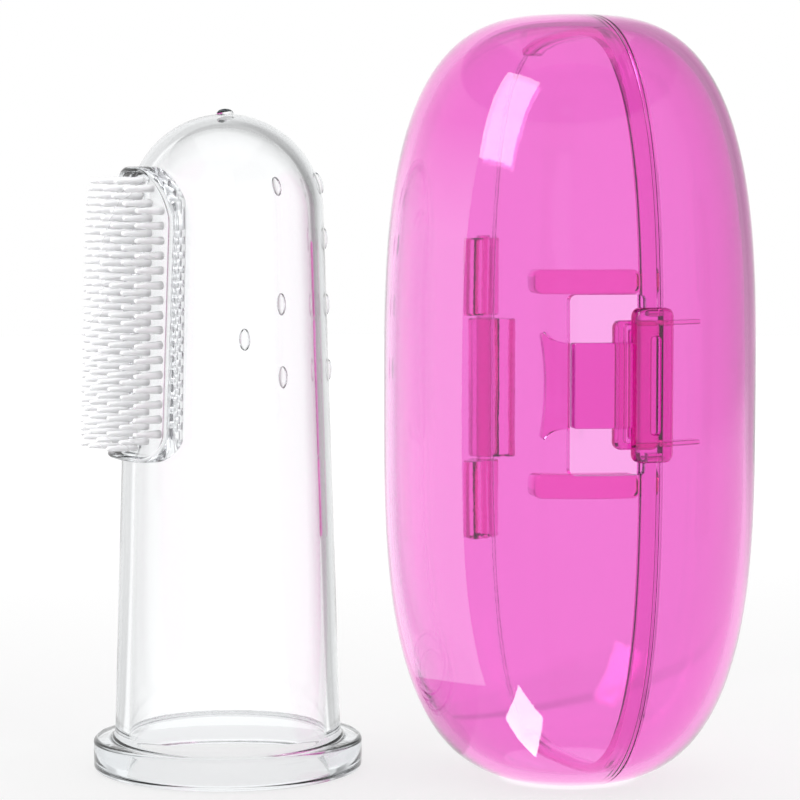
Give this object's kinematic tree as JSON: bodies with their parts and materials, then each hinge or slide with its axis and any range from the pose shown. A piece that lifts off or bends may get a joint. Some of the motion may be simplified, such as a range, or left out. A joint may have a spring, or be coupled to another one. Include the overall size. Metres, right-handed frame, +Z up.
{
  "type": "finger toothbrush",
  "caption": "Clear silicone finger toothbrush with a bristle pad and massage nubs, standing beside its hinged translucent capsule case with a snap latch.",
  "frame": {"origin": "bottom centre of the whole set's box, on the surface that the brush and the case stand on", "axes": "+Z up along the brush and the case, +X from the brush to the case, -Y towards the viewer and the latch"},
  "size_m": [0.059, 0.0346, 0.0662],
  "materials": {
    "clear_silicone": "clear, glossy, soft",
    "pink_plastic": "translucent, polished"
  },
  "bodies": {
    "finger_brush": {"finger_sleeve": "clear_silicone", "stop_flange": "clear_silicone", "bristle_pad": "clear_silicone", "massage_nub_1": "clear_silicone", "massage_nub_2": "clear_silicone", "massage_nub_3": "clear_silicone", "massage_nub_4": "clear_silicone", "massage_nub_5": "clear_silicone", "massage_nub_6": "clear_silicone", "massage_nub_7": "clear_silicone", "massage_nub_8": "clear_silicone", "massage_nub_9": "clear_silicone"},
    "case_shell": {"main_shell": "pink_plastic", "window_rib_upper": "pink_plastic", "window_rib_lower": "pink_plastic", "tongue_root": "pink_plastic", "hinge_knuckle_upper": "pink_plastic", "hinge_knuckle_lower": "pink_plastic", "hinge_pin": "pink_plastic"},
    "latch": {"latch_tongue": "pink_plastic", "thumb_bar": "pink_plastic"},
    "lid": {"lid_shell": "pink_plastic", "lid_catch": "pink_plastic", "lid_lip_upper": "pink_plastic", "lid_lip_lower": "pink_plastic", "hinge_knuckle_middle": "pink_plastic"}
  },
  "joints": [
    {"name": "case_slide", "type": "slide", "parent": "finger_brush", "child": "case_shell", "axis": [0, 1, 0], "range_m": [0, 0.03]},
    {"name": "lid_hinge", "type": "hinge", "parent": "case_shell", "child": "lid", "pos_m": [0.00601, 0.01583, 0.03295], "axis": [0, 0, 1], "range_deg": [0, 170]},
    {"name": "latch_flex", "type": "hinge", "parent": "case_shell", "child": "latch", "pos_m": [0.01271, -0.01614, 0.03535], "axis": [0, 0, -1], "range_deg": [0, 12], "stiffness_Nm_per_rad": 0.05}
  ]
}
